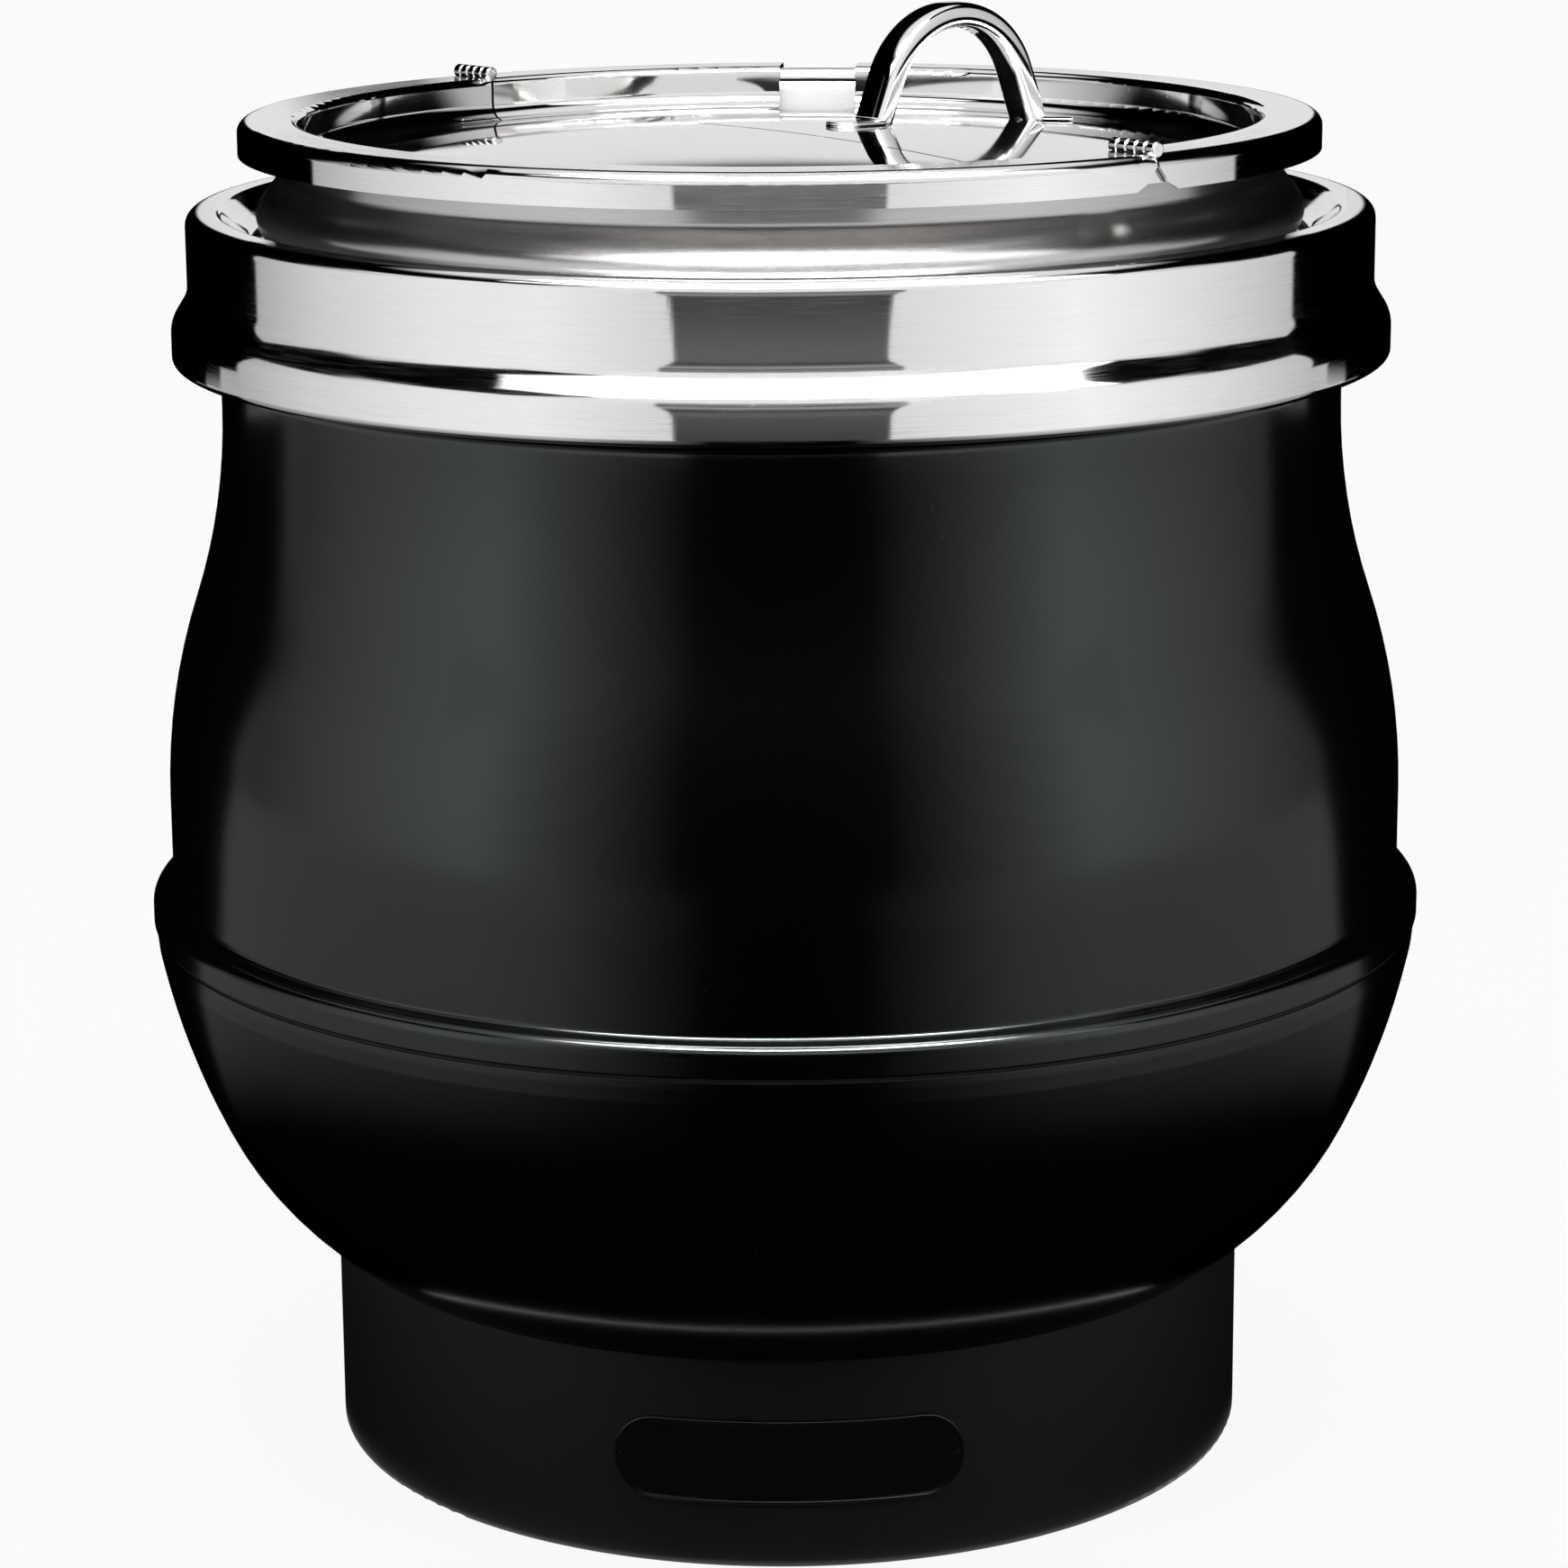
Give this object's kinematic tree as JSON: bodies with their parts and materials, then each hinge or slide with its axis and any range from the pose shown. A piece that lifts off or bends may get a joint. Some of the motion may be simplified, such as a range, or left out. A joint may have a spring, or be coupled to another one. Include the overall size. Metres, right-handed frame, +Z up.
{
  "type": "soup kettle",
  "caption": "Round black soup kettle on a plinth, with a polished collar, a lift-out pot and a recessed split lid whose handled flap hinges up for ladling.",
  "frame": {"origin": "on the table under the centre of the plinth", "axes": "+Z up along the kettle's axis, -Y towards the blank badge at the front, +Y towards the controls at the rear"},
  "size_m": [0.3508, 0.3507, 0.3941],
  "materials": {
    "black_enamel": "semi-gloss black stove enamel",
    "black_phenolic": "moulded satin black",
    "badge_gloss": "gloss black, blank",
    "mirror_steel": "mirror-polished stainless steel",
    "satin_steel": "satin drawn stainless steel",
    "zinc_steel": "zinc-plated steel",
    "heat_aluminium": "cast, machined faces",
    "element_sheath": "heat-darkened sheath",
    "black_rubber": "matt moulded rubber",
    "grey_silicone": "dark silicone",
    "regulator_case": "pale moulded thermoset",
    "knob_black": "satin black",
    "dial_aluminium": "satin anodised, plain numbers",
    "lamp_amber": "translucent amber",
    "terminal_brass": "turned brass"
  },
  "bodies": {
    "kettle": {"base_plinth": "black_phenolic", "base_plate": "zinc_steel", "rubber_feet": "black_rubber", "base_screws": "zinc_steel", "badge_plate": "badge_gloss", "lower_bowl": "black_enamel", "bowl_bolts": "zinc_steel", "bowl_nuts": "zinc_steel", "belly_seal": "grey_silicone", "upper_shell": "black_enamel", "water_well": "satin_steel", "collar_seal": "grey_silicone", "collar": "mirror_steel", "collar_nuts": "zinc_steel", "heat_plate": "heat_aluminium", "heating_element": "element_sheath", "element_clamps": "zinc_steel", "clamp_nuts": "zinc_steel", "support_posts": "zinc_steel", "post_screws": "zinc_steel", "thermal_cutout": "regulator_case", "energy_regulator": "regulator_case", "regulator_nut": "terminal_brass", "dial_plate": "dial_aluminium", "indicator_lens": "lamp_amber", "indicator_clip": "zinc_steel", "cord_gland": "knob_black", "gland_nut": "knob_black", "wire_grommet": "black_rubber", "terminal_block": "regulator_case", "terminal_screws": "terminal_brass", "earth_stud": "terminal_brass", "earth_nut": "terminal_brass"},
    "knob": {"control_knob": "knob_black", "knob_shaft": "zinc_steel"},
    "pot": {"soup_pot": "satin_steel"},
    "lid": {"lid_fixed_half": "mirror_steel", "hinge_knuckles_fixed": "mirror_steel", "hinge_pins": "mirror_steel"},
    "lid_flap": {"lid_flap": "mirror_steel", "hinge_knuckles_flap": "mirror_steel", "lid_handle": "mirror_steel"}
  },
  "joints": [
    {"name": "pot_lift", "type": "slide", "parent": "kettle", "child": "pot", "axis": [0, 0, 1], "range_m": [0, 0.2]},
    {"name": "lid_lift", "type": "slide", "parent": "pot", "child": "lid", "axis": [0, 0, 1], "range_m": [0, 0.06]},
    {"name": "flap_hinge", "type": "hinge", "parent": "lid", "child": "lid_flap", "pos_m": [0, 0, 0.3695], "axis": [0.6428, -0.766, 0], "range_deg": [0, 150]},
    {"name": "knob_turn", "type": "hinge", "parent": "kettle", "child": "knob", "pos_m": [0, 0.12, 0.0315], "axis": [0, 1, 0], "range_deg": [0, 270]}
  ]
}
